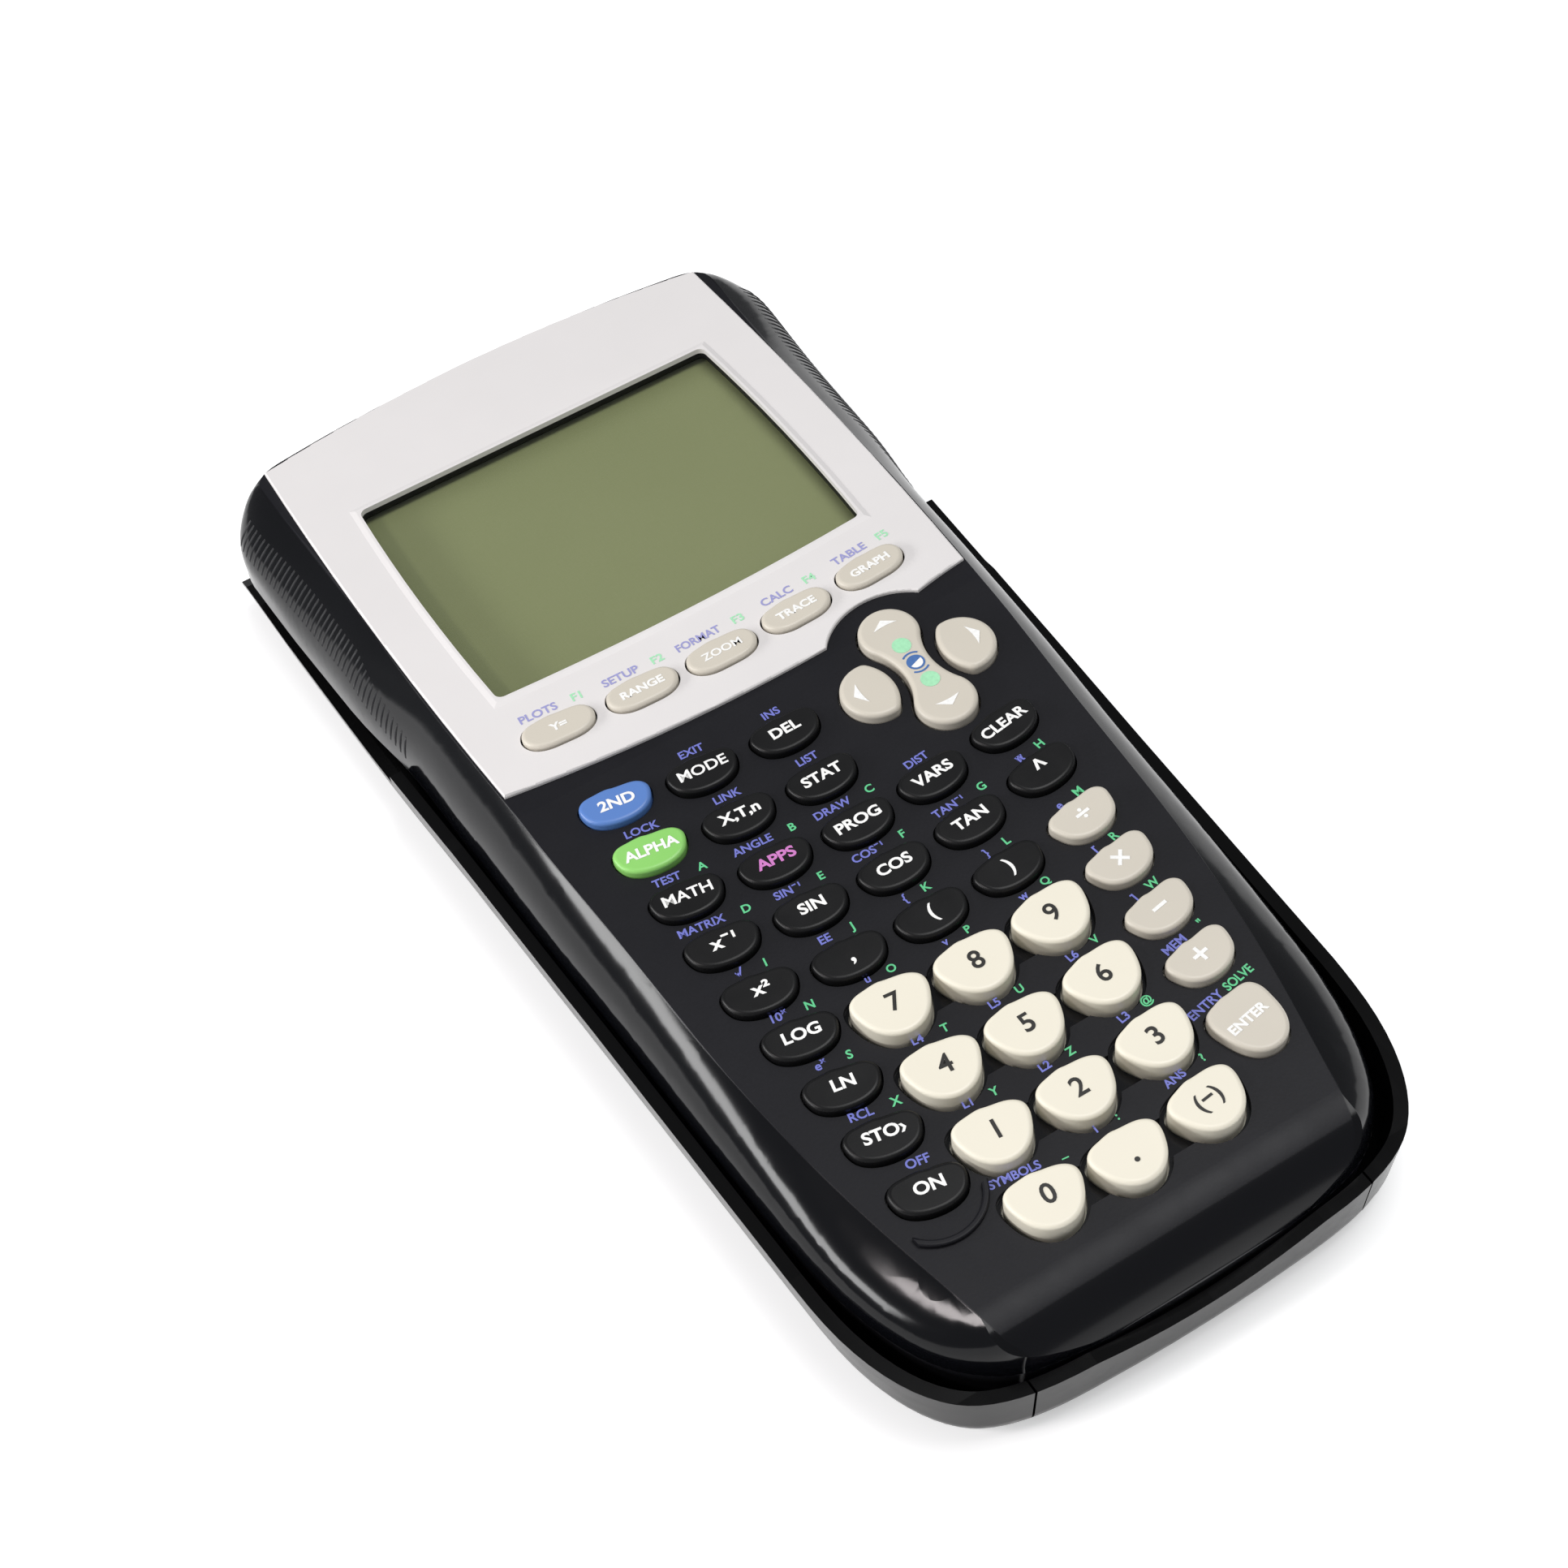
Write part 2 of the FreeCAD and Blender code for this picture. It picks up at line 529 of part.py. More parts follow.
def batteries():
    """Four AAA cells side by side, each with its contact nub."""
    cells = []
    for i in range(4):
        y = 38.3 + 11.5 * i
        turn = 1 if i % 2 else -1
        can = Part.makeCylinder(5.25, 43.5, Vector(-turn * 22, y, 9.8), Vector(turn, 0, 0))
        nub = Part.makeCylinder(1.9, 0.8, Vector(turn * 21.5, y, 9.8), Vector(turn, 0, 0))
        cells.append(can.fuse(nub))
    return Part.makeCompound(cells)


def lcd_module():
    carrier = box(-33.5, 33.5, 27.0, 80.0, 17.0, 21.9)
    glass = window_prism(1.2, 21.5, 22.1).common(box(-40, 40, 27.0, 80, 0, 30))
    return carrier.fuse(glass)


def sheet(x_top, x_low, w0, w1):
    """Flat sheet under the keypad, tapered towards the bottom end."""
    points = [(-x_top, 14.5), (x_top, 14.5), (x_top, -72), (x_low, -91), (-x_low, -91), (-x_top, -72)]
    wire = Part.makePolygon([Vector(x, y, w0) for x, y in points + points[:1]])
    return keypad_frame(prism(wire, w1 - w0))


def keypad_membrane(dome_places):
    """Rubber sheet with one hollow dome collar under each plunger."""
    rings = []
    wells = []
    for x, y in dome_places:
        rings.append(place_on_keypad(rod(2.8, 0, 0, MEMBRANE_TOP - 0.2, DOME_TOP), x, y, 0))
        wells.append(place_on_keypad(rod(2.0, 0, 0, MEMBRANE_TOP, DOME_TOP + 1), x, y, 0))
    return sheet(29.5, 21.0, MEMBRANE_BOTTOM, MEMBRANE_TOP).multiFuse(rings).cut(wells)


def case_screws():
    screws = []
    for x, y in both_sides(SCREW_PLACES):
        head = rod(2.3, x, y, REAR_BOTTOM_Z + 0.4, REAR_BOTTOM_Z + 2.0)
        slot = box(x - 1.4, x + 1.4, y - 0.3, y + 0.3, 0, REAR_BOTTOM_Z + 1.0)
        cross = box(x - 0.3, x + 0.3, y - 1.4, y + 1.4, 0, REAR_BOTTOM_Z + 1.0)
        screws.append(head.fuse(rod(1.0, x, y, REAR_BOTTOM_Z + 1.9, PARTING_Z + 4)).cut([slot, cross]))
    return Part.makeCompound(screws)


def slide_cover():
    """Hard cover stowed under the case: floor, closed bottom end, walls that step up, two slide rails."""
    block = Part.makeLoft([drafted(COVER, 0, 0), drafted(COVER, 0, 14.0)], True, True)
    block = rounded(block, COVER_EDGE_RADIUS, at_height(0))
    inner_wires = [drafted(COVER, COVER_WALL, COVER_FLOOR), drafted(COVER, COVER_WALL, 20)]
    inside = Part.makeLoft(inner_wires, True, True)
    inside = rounded(inside, COVER_EDGE_RADIUS - COVER_WALL, at_height(COVER_FLOOR))
    mouth = box(-60, 60, COVER_TOP_Y, 130, -1, 30)
    rim = side_profile([(130, 2.5), (94.0, 3.0), (93.6, 5.0), (92.0, 6.9), (89.5, 7.8), (84, 8.2),
                        (38.5, 8.4), (36, 12.6), (20, 13.0), (17.5, RIM_Z), (-66, RIM_Z),
                        (-90, RIM_Z - 1.0), (-110, RIM_Z - 1.0), (-110, 40), (130, 40)])
    scoop = Part.makeCylinder(SCOOP_RADIUS, 30, Vector(0, -80, SCOOP_LOW_Z + SCOOP_RADIUS), Vector(0, -1, 0))
    seams = [box(x - 0.15, x + 0.15, -100, -91.0, 3.0, 15) for x in (-24.2, 24.2)]
    shell = block.cut([inside, mouth, rim, scoop])
    rails = [box(RAIL_INNER_X, 60, -20, 84, *RAIL_Z), box(-60, -RAIL_INNER_X, -20, 84, *RAIL_Z)]
    shell = shell.multiFuse([rail.common(block) for rail in rails])
    core = Part.makeLoft([drafted(COVER, 0.25, -1), drafted(COVER, 0.25, 30)], True, True)
    skin = block.cut(core)
    return shell.cut([seam.common(skin) for seam in seams])


def main():
    os.makedirs("parts", exist_ok=True)
    keys = key_layout()
    holes = []
    domes = []
    parts = {}
    for name, kind, size, x, y, turn in keys:
        parts["key_" + name] = place_key(key_cap(kind, size), x, y, turn)
        hole = prism(smooth_wire(cap_outline(kind, size, KEY_CLEARANCE, KEY_CLEARANCE), -4), 8)
        holes.append(place_key(hole, x, y, turn))
        domes.append((x, y))

    ax, ay = ARROW_CENTRE
    parts["arrow_rocker"] = place_on_keypad(rocker(), ax, ay, 0)
    holes.append(place_on_keypad(prism(rocker_wire(0.35, -4), 8), ax, ay, 0))
    holes.append(place_on_keypad(pivot_rod(PIVOT_RADIUS + 0.3, PIVOT_REACH + 0.2), ax, ay, 0))
    domes += [(ax, ay + 7.0), (ax, ay - 7.0)]
    for name, side in (("right", 1), ("left", -1)):
        turn = 0 if side > 0 else 180
        x = ax + side * PETAL_OFFSET
        parts["key_" + name] = place_on_keypad(arrow_petal(), x, ay - 0.3, turn)
        holes.append(place_on_keypad(petal_block(KEY_CLEARANCE, -4, 4), x, ay - 0.3, turn))
        domes.append((x + side * 0.8, ay - 0.3))

    parts["front_case"] = front_case(holes, keys)
    parts["faceplate"] = faceplate(holes)
    parts["window_lens"] = window_prism(1.4, 22.25, 23.25)
    parts["lcd_module"] = lcd_module()
    parts["keypad_membrane"] = keypad_membrane(domes)
    parts["main_board"] = sheet(29.5, 21.0, BOARD_BOTTOM, MEMBRANE_BOTTOM)
    parts["rear_case"] = rear_case()
    parts["battery_door"] = battery_door()
    parts["batteries"] = batteries()
    parts["case_screws"] = case_screws()
    parts["slide_cover"] = slide_cover()

    for name, shape in parts.items():
        shape.exportStep(f"parts/{name}.step")
        print(name, len(shape.Solids), shape.isValid(), round(shape.Volume, 1))


main()
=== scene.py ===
import json
import math

import bpy
from mathutils import Euler, Matrix, Vector
from mathutils.bvhtree import BVHTree


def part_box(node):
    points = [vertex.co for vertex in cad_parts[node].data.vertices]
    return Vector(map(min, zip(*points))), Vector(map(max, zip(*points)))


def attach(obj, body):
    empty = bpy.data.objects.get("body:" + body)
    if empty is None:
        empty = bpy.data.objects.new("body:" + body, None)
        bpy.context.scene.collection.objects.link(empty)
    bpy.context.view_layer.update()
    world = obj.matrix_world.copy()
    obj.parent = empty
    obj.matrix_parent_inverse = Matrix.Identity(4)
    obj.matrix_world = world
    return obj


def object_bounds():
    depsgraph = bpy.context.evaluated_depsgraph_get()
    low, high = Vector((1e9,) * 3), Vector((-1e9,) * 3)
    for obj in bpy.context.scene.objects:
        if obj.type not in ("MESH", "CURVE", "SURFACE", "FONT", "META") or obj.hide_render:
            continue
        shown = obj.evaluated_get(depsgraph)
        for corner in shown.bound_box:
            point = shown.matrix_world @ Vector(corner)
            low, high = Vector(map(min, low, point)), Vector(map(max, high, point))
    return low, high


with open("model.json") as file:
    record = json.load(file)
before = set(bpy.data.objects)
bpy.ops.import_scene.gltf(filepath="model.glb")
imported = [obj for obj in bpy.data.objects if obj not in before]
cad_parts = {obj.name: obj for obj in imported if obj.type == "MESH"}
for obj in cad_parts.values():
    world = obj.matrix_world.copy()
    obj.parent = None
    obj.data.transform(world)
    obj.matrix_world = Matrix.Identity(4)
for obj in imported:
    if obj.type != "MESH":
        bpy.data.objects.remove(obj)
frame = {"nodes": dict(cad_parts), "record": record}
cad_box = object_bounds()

MM = 0.001
CASE = "calculator"
DECK_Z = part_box("front_case")[1][2]
FACE_Z = DECK_Z + 0.6 * MM
KEYPAD_TOP_Y = 8.0 * MM
KEYPAD_SLOPE = math.radians(3.0)
PRINT_LIFT = 0.03 * MM
PRINT_THICKNESS = 0.024 * MM
SMOOTH_ANGLE = math.radians(32)
LABEL_BOLD = 0.04 * MM
LEFT_LABEL_WIDTH = 6.9 * MM
RIGHT_LABEL_WIDTH = 4.6 * MM
LEGEND_WIDTH = 7.6 * MM
CAP_HEIGHT = 0.7                 # height of a capital letter as a share of the font's size
RIB_COUNT = 41
RIB_START_Y = 35.5
RIB_PITCH = 1.28
RIB_RADIUS = 0.27 * MM
RIB_STEPS = 9
RIB_SIDES = 4
FLOOR_HALF = 3.0


# ---- node materials ----
def new_material(name):
    material = bpy.data.materials.new(name)
    material.use_nodes = True
    tree = material.node_tree
    shader = tree.nodes["Principled BSDF"]
    return material, tree, shader


def node(tree, kind, **settings):
    made = tree.nodes.new(kind)
    for key, value in settings.items():
        if key in made.inputs:
            made.inputs[key].default_value = value
        else:
            setattr(made, key, value)
    return made


def maths(tree, operation, a, b=None):
    made = tree.nodes.new("ShaderNodeMath")
    made.operation = operation
    for socket, value in zip(made.inputs, (a, b)):
        if value is None:
            continue
        if isinstance(value, (int, float)):
            socket.default_value = value
        else:
            tree.links.new(value, socket)
    return made.outputs[0]


def noise(tree, scale, detail=2.0):
    coords = node(tree, "ShaderNodeTexCoord")
    made = node(tree, "ShaderNodeTexNoise", Scale=scale, Detail=detail)
    tree.links.new(coords.outputs["Object"], made.inputs["Vector"])
    return made.outputs["Fac"]


def span(tree, value, low, high, start=0.3, end=0.7):
    """Map a noise value onto a range."""
    made = node(tree, "ShaderNodeMapRange")
    tree.links.new(value, made.inputs["Value"])
    made.inputs["From Min"].default_value = start
    made.inputs["From Max"].default_value = end
    made.inputs["To Min"].default_value = low
    made.inputs["To Max"].default_value = high
    return made.outputs["Result"]


def mix(tree, factor, a, b):
    """Mix two colours; each is a colour or a socket."""
    made = tree.nodes.new("ShaderNodeMix")
    made.data_type = "RGBA"
    tree.links.new(factor, made.inputs["Factor"])
    for socket, value in ((made.inputs[6], a), (made.inputs[7], b)):
        if isinstance(value, tuple):
            socket.default_value = (*value, 1.0)
        else:
            tree.links.new(value, socket)
    return made.outputs[2]


def shade(colour, factor):
    return tuple(min(1.0, c * factor) for c in colour)


def bump(tree, shader, height, strength, distance):
    made = node(tree, "ShaderNodeBump", Strength=strength, Distance=distance)
    tree.links.new(height, made.inputs["Height"])
    tree.links.new(made.outputs["Normal"], shader.inputs["Normal"])


def moulded(name, colour, rough, grain=0.15, grain_size=0.25, coat=0.0, spread=0.06, specular=0.5):
    """Moulded plastic: cloudy colour, a fine spark-eroded grain and uneven polish."""
    material, tree, shader = new_material(name)
    cloud = noise(tree, 60.0, 3.0)
    speckle = noise(tree, 1 / (grain_size * MM), 2.0)
    soft = mix(tree, span(tree, cloud, 0.0, 1.0), shade(colour, 1 - spread), shade(colour, 1 + spread))
    fine = mix(tree, span(tree, speckle, 0.0, 0.35), soft, shade(colour, 1 - 2 * spread))
    tree.links.new(fine, shader.inputs["Base Color"])
    polish = noise(tree, 220.0, 4.0)
    tree.links.new(span(tree, polish, rough * 0.85, rough * 1.15), shader.inputs["Roughness"])
    shader.inputs["Specular IOR Level"].default_value = specular
    shader.inputs["Coat Weight"].default_value = coat
    shader.inputs["Coat Roughness"].default_value = 0.12
    bump(tree, shader, speckle, grain, 0.02 * MM)
    return material


# Half-width of the satin top at places along Y, in mm: outside it the sides are polished.
SEAM = [(-93.2, 22.5), (-88.8, 24.9), (-85.0, 26.1), (-80.0, 27.2), (-74.0, 28.6), (-66.0, 30.3),
        (-58.0, 31.7), (-40.0, 33.9), (-20.0, 35.1), (0.0, 36.5), (12.0, 37.1), (35.0, 38.1), (58.0, 38.4),
        (88.0, 39.4), (96.0, 39.4)]


def case_material():
    """Front case: satin keypad top, polished sides and polished recesses between the number keys."""
    material, tree, shader = new_material("case_black_two_finish")
    place = node(tree, "ShaderNodeNewGeometry")
    parts = node(tree, "ShaderNodeSeparateXYZ")
    tree.links.new(place.outputs["Position"], parts.inputs[0])
    x, y, z = parts.outputs
    along = maths(tree, "DIVIDE", maths(tree, "ADD", y, 0.1), 0.2)
    curve = tree.nodes.new("ShaderNodeFloatCurve")
    points = curve.mapping.curves[0].points
    spots = [((0.1 + py * MM) / 0.2, px * MM / 0.05) for py, px in SEAM]
    points[0].location = (0.0, spots[0][1])
    points[1].location = (1.0, spots[-1][1])
    for spot in spots:
        points.new(*spot)
    curve.mapping.update()
    tree.links.new(along, curve.inputs["Value"])
    edge = maths(tree, "MULTIPLY", curve.outputs[0], 0.05)
    beyond = maths(tree, "SUBTRACT", maths(tree, "ABSOLUTE", x), edge)
    side = node(tree, "ShaderNodeMapRange")
    tree.links.new(beyond, side.inputs["Value"])
    side.inputs["From Min"].default_value = -0.1 * MM
    side.inputs["From Max"].default_value = 0.15 * MM
    plane = maths(tree, "ADD", maths(tree, "MULTIPLY", maths(tree, "SUBTRACT", y, KEYPAD_TOP_Y),
                                     math.tan(KEYPAD_SLOPE)), DECK_Z)
    depth = maths(tree, "SUBTRACT", maths(tree, "MINIMUM", plane, DECK_Z), z)
    sunk = node(tree, "ShaderNodeMapRange")
    tree.links.new(depth, sunk.inputs["Value"])
    sunk.inputs["From Min"].default_value = 0.7 * MM
    sunk.inputs["From Max"].default_value = 0.9 * MM
    gloss = maths(tree, "MAXIMUM", side.outputs[0], maths(tree, "MULTIPLY", sunk.outputs[0], 0.8))
    speckle = noise(tree, 2600.0, 2.0)
    cloud = noise(tree, 45.0, 3.0)
    satin = mix(tree, span(tree, cloud, 0.0, 1.0), (0.0060, 0.0060, 0.0088), (0.0078, 0.0078, 0.0108))
    dust = mix(tree, span(tree, speckle, 0.0, 0.5), satin, (0.0045, 0.0045, 0.0062))
    tree.links.new(mix(tree, gloss, dust, (0.0028, 0.0030, 0.0040)), shader.inputs["Base Color"])
    rough = node(tree, "ShaderNodeMix")
    tree.links.new(gloss, rough.inputs["Factor"])
    tree.links.new(span(tree, noise(tree, 180.0, 3.0), 0.44, 0.5), rough.inputs[2])
    tree.links.new(span(tree, noise(tree, 90.0, 3.0), 0.11, 0.13), rough.inputs[3])
    tree.links.new(rough.outputs[0], shader.inputs["Roughness"])
    shine = maths(tree, "ADD", maths(tree, "MULTIPLY", gloss, -0.02), 0.24)
    tree.links.new(shine, shader.inputs["Specular IOR Level"])
    grain = maths(tree, "MULTIPLY", speckle, maths(tree, "SUBTRACT", 1.0, gloss))
    bump(tree, shader, grain, 0.3, 0.03 * MM)
    return material


def gloss_black(name, colour, rough, specular):
    """Polished black moulding with faint handling scuffs."""
    material, tree, shader = new_material(name)
    coords = node(tree, "ShaderNodeTexCoord")
    stretch = node(tree, "ShaderNodeMapping")
    stretch.inputs["Scale"].default_value = (600.0, 60.0, 600.0)
    tree.links.new(coords.outputs["Object"], stretch.inputs["Vector"])
    scuff = node(tree, "ShaderNodeTexNoise", Scale=1.0, Detail=3.0)
    tree.links.new(stretch.outputs[0], scuff.inputs["Vector"])
    cloud = noise(tree, 40.0, 3.0)
    tree.links.new(mix(tree, span(tree, cloud, 0.0, 1.0), shade(colour, 0.92), shade(colour, 1.08)),
                   shader.inputs["Base Color"])
    polish = span(tree, scuff.outputs["Fac"], rough, rough * 1.25, 0.4, 0.8)
    tree.links.new(polish, shader.inputs["Roughness"])
    shader.inputs["Specular IOR Level"].default_value = specular
    bump(tree, shader, noise(tree, 500.0, 2.0), 0.04, 0.02 * MM)
    return material


def display_material():
    """Reflective liquid crystal display: olive, with a barely visible grid of dots."""
    material, tree, shader = new_material("display_olive")
    place = node(tree, "ShaderNodeNewGeometry")
    parts = node(tree, "ShaderNodeSeparateXYZ")
    tree.links.new(place.outputs["Position"], parts.inputs[0])
    pitch = 0.6 * MM
    lines = None
    for axis in parts.outputs[:2]:
        part = maths(tree, "ABSOLUTE", maths(tree, "SUBTRACT", maths(tree, "FRACT", maths(
            tree, "DIVIDE", maths(tree, "ADD", axis, 0.2), pitch)), 0.5))
        line = maths(tree, "GREATER_THAN", part, 0.44)
        lines = line if lines is None else maths(tree, "MAXIMUM", lines, line)
    cloud = noise(tree, 30.0, 2.0)
    base = mix(tree, span(tree, cloud, 0.0, 1.0), (0.186, 0.210, 0.090), (0.198, 0.222, 0.098))
    faint = maths(tree, "MULTIPLY", lines, 0.12)
    speckle = noise(tree, 1500.0, 2.0)
    grained = mix(tree, span(tree, speckle, 0.0, 0.12), base, (0.15, 0.18, 0.06))
    tree.links.new(mix(tree, faint, grained, (0.25, 0.29, 0.12)), shader.inputs["Base Color"])
    tree.links.new(span(tree, cloud, 0.34, 0.42), shader.inputs["Roughness"])
    shader.inputs["Specular IOR Level"].default_value = 0.25
    bump(tree, shader, speckle, 0.05, 0.01 * MM)
    return material


def lens_material():
    """Clear window: a thin film that mostly lets the display through, with a hard coat."""
    material, tree, shader = new_material("window_clear")
    cloud = noise(tree, 25.0, 2.0)
    tree.links.new(mix(tree, span(tree, cloud, 0.0, 1.0), (0.5, 0.52, 0.46), (0.56, 0.58, 0.52)),
                   shader.inputs["Base Color"])
    tree.links.new(span(tree, cloud, 0.03, 0.06), shader.inputs["Roughness"])
    shader.inputs["Alpha"].default_value = 0.03
    shader.inputs["IOR"].default_value = 1.49
    return material


def metal(name, colour, rough):
    material, tree, shader = new_material(name)
    fine = noise(tree, 900.0, 3.0)
    tree.links.new(mix(tree, span(tree, fine, 0.0, 1.0), shade(colour, 0.85), shade(colour, 1.1)),
                   shader.inputs["Base Color"])
    tree.links.new(span(tree, fine, rough * 0.8, rough * 1.3), shader.inputs["Roughness"])
    shader.inputs["Metallic"].default_value = 1.0
    bump(tree, shader, fine, 0.1, 0.02 * MM)
    return material


def ink(name, colour):
    """Printed ink: nearly even, with the slight mottling of pad printing."""
    material, tree, shader = new_material(name)
    mottle = noise(tree, 2200.0, 2.0)
    tree.links.new(mix(tree, span(tree, mottle, 0.0, 1.0), shade(colour, 0.93), shade(colour, 1.04)),
                   shader.inputs["Base Color"])
    tree.links.new(span(tree, mottle, 0.45 * 0.9, 0.45 * 1.1), shader.inputs["Roughness"])
    return material


FINISHES = {
    "front_case": case_material(),
    "rear_case": moulded("rear_black", (0.012, 0.012, 0.015), 0.38, 0.35, 0.35),
    "ribs": moulded("rib_black", (0.008, 0.008, 0.010), 0.4, 0.1, 0.2, specular=0.2),
    "battery_door": moulded("door_black", (0.013, 0.013, 0.016), 0.42, 0.4, 0.35),
    "slide_cover": gloss_black("cover_gloss", (0.0032, 0.0032, 0.0034), 0.2, 0.1),
    "faceplate": moulded("faceplate_silver_grey", (0.745, 0.722, 0.715), 0.45, 0.2, 0.2, spread=0.012),
    "window_lens": lens_material(),
    "lcd_module": display_material(),
    "main_board": moulded("board_green", (0.02, 0.15, 0.05), 0.35, 0.1, 0.6, coat=0.3),
    "keypad_membrane": moulded("membrane_rubber", (0.36, 0.36, 0.37), 0.7, 0.2, 0.4),
    "batteries": metal("cell_can", (0.55, 0.56, 0.6), 0.3),
    "case_screws": metal("screw_zinc", (0.62, 0.62, 0.6), 0.35),
    "dark": moulded("key_dark_satin", (0.0062, 0.0062, 0.0066), 0.36, 0.2, 0.2, spread=0.1, specular=0.25),
    "ivory": moulded("key_ivory_satin", (0.83, 0.785, 0.655), 0.4, 0.15, 0.2, spread=0.012),
    "beige": moulded("key_beige_satin", (0.63, 0.585, 0.50), 0.4, 0.15, 0.2, spread=0.02),
    "blue": moulded("key_blue_satin", (0.10, 0.22, 0.56), 0.36, 0.15, 0.2, spread=0.03),
    "green": moulded("key_green_satin", (0.27, 0.64, 0.15), 0.36, 0.15, 0.2, spread=0.03),
}
INK = {
    "white": ink("ink_white", (0.92, 0.92, 0.9)),
    "black": ink("ink_black", (0.012, 0.011, 0.009)),
    "pink": ink("ink_pink", (0.62, 0.2, 0.55)),
    "violet": ink("ink_violet", (0.17, 0.19, 0.60)),
    "grey_violet": ink("ink_grey_violet", (0.33, 0.33, 0.62)),
    "mint": ink("ink_mint", (0.12, 0.62, 0.28)),
    "pale_mint": ink("ink_pale_mint", (0.38, 0.78, 0.48)),
    "blue": ink("ink_blue", (0.06, 0.16, 0.42)),
}

IVORY = ("7", "8", "9", "4", "5", "6", "1", "2", "3", "0", "point", "negate")
BEIGE = ("plot", "range", "zoom", "trace", "graph", "divide", "multiply", "minus", "plus", "enter", "left",
         "right")


def key_finish(name):
    if name in IVORY:
        return "ivory"
    if name in BEIGE:
        return "beige"
    return {"second": "blue", "alpha": "green"}.get(name, "dark")


def smooth_shading(obj):
    """Smooth shading across the fillets, with hard edges kept sharp."""
    mesh = obj.data
    mesh.polygons.foreach_set("use_smooth", [True] * len(mesh.polygons))
    mesh.set_sharp_from_angle(angle=SMOOTH_ANGLE)


for name, obj in frame["nodes"].items():
    if name.startswith("key_"):
        finish = FINISHES[key_finish(name[4:])]
    elif name == "arrow_rocker":
        finish = FINISHES["beige"]
    else:
        finish = FINISHES[name]
    if not obj.material_slots:
        obj.data.materials.append(finish)
    for holder in obj.material_slots:
        holder.material = finish
    if obj.data.polygons:
        smooth_shading(obj)


# ---- making pieces ----
def body_name(name):
    """The body that a CAD node rides on."""
    for body, nodes in frame["record"]["behaviour"]["bodies"].items():
        if name in nodes:
            return body
    return CASE


def finish_piece(obj, material, body):
    obj.data.materials.clear()
    obj.data.materials.append(material)
    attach(obj, body)


def mesh_piece(name, points, faces, material, body, smooth=True):
    mesh = bpy.data.meshes.new(name)
    mesh.from_pydata([tuple(p) for p in points], [], faces)
    mesh.update()
    obj = bpy.data.objects.new(name, mesh)
    bpy.context.scene.collection.objects.link(obj)
    if smooth:
        mesh.polygons.foreach_set("use_smooth", [True] * len(mesh.polygons))
    finish_piece(obj, material, body)


def surface(name):
    """Ray-casting tree of a CAD node's mesh."""
    mesh = frame["nodes"][name].data
    return BVHTree.FromPolygons([v.co for v in mesh.vertices], [tuple(p.vertices) for p in mesh.polygons])


def keypad_height(y):
    """Height of the case's top: flat deck above, sloping keypad below."""
    return DECK_Z + min(0.0, y - KEYPAD_TOP_Y) * math.tan(KEYPAD_SLOPE)


def keypad_matrix(x, y, z, turn):
    tilt = Matrix.Rotation(KEYPAD_SLOPE if y < KEYPAD_TOP_Y else 0.0, 4, "X")
    return Matrix.Translation((x, y, z)) @ tilt @ Matrix.Rotation(turn, 4, "Z")


def text_mesh(words, height, bold, squeeze, most):
    """A thin line of text centred on the origin and no wider than most, as points and faces in metres."""
    curve = bpy.data.curves.new("words", "FONT")
    curve.body = words
    curve.size = height / CAP_HEIGHT
    curve.offset = bold
    curve.align_x = "CENTER"
    curve.extrude = PRINT_THICKNESS / 2
    curve.resolution_u = 4
    holder = bpy.data.objects.new("words", curve)
    bpy.context.scene.collection.objects.link(holder)
    bpy.context.view_layer.update()
    mesh = bpy.data.meshes.new_from_object(holder)
    points = [v.co.copy() for v in mesh.vertices]
    faces = [tuple(p.vertices) for p in mesh.polygons]
    bpy.data.objects.remove(holder)
    bpy.data.curves.remove(curve)
    bpy.data.meshes.remove(mesh)
    low = min(p.x for p in points)
    high = max(p.x for p in points)
    fit = most / (high - low) if (high - low) * squeeze > most else squeeze
    middle = (low + high) / 2
    base = height / 2
    return [Vector(((p.x - middle) * fit, p.y - base, p.z)) for p in points], faces


class Print:
    """Collects flat marks of one colour and makes one piece of them."""

    def __init__(self):
        self.points = []
        self.faces = []

    def add(self, points, faces, matrix):
        start = len(self.points)
        self.points += [matrix @ p for p in points]
        self.faces += [tuple(start + i for i in face) for face in faces]

    def make(self, name, material, body, slot):
        mesh_piece(name, self.points, self.faces, material, body, smooth=False)


def flat_shape(outline):
    """A thin closed plate with the given outline, as points and faces."""
    count = len(outline)
    levels = (-PRINT_THICKNESS / 2, PRINT_THICKNESS / 2)
    points = [Vector((x, y, z)) for z in levels for x, y in outline]
    faces = [tuple(range(count - 1, -1, -1)), tuple(range(count, 2 * count))]
    faces += [(i, (i + 1) % count, count + (i + 1) % count, count + i) for i in range(count)]
    return points, faces


def disc(radius, count=32, start=0.0, sweep=2 * math.pi):
    """Points round a full circle, or round an arc with both its ends."""
    return [(radius * math.cos(start + sweep * i / count), radius * math.sin(start + sweep * i / count))
            for i in range(count + (sweep < 2 * math.pi))]


def chevron(half, drop, thick):
    """Arrow mark pointing along +Y: straight outer edges and a hollow curved back."""
    back = [(half * (1 - 2 * i / 8), -drop + (drop - thick) * (1 - (1 - i / 4) ** 2)) for i in range(9)]
    return [(0.0, 0.0)] + [(-x, y) for x, y in back]


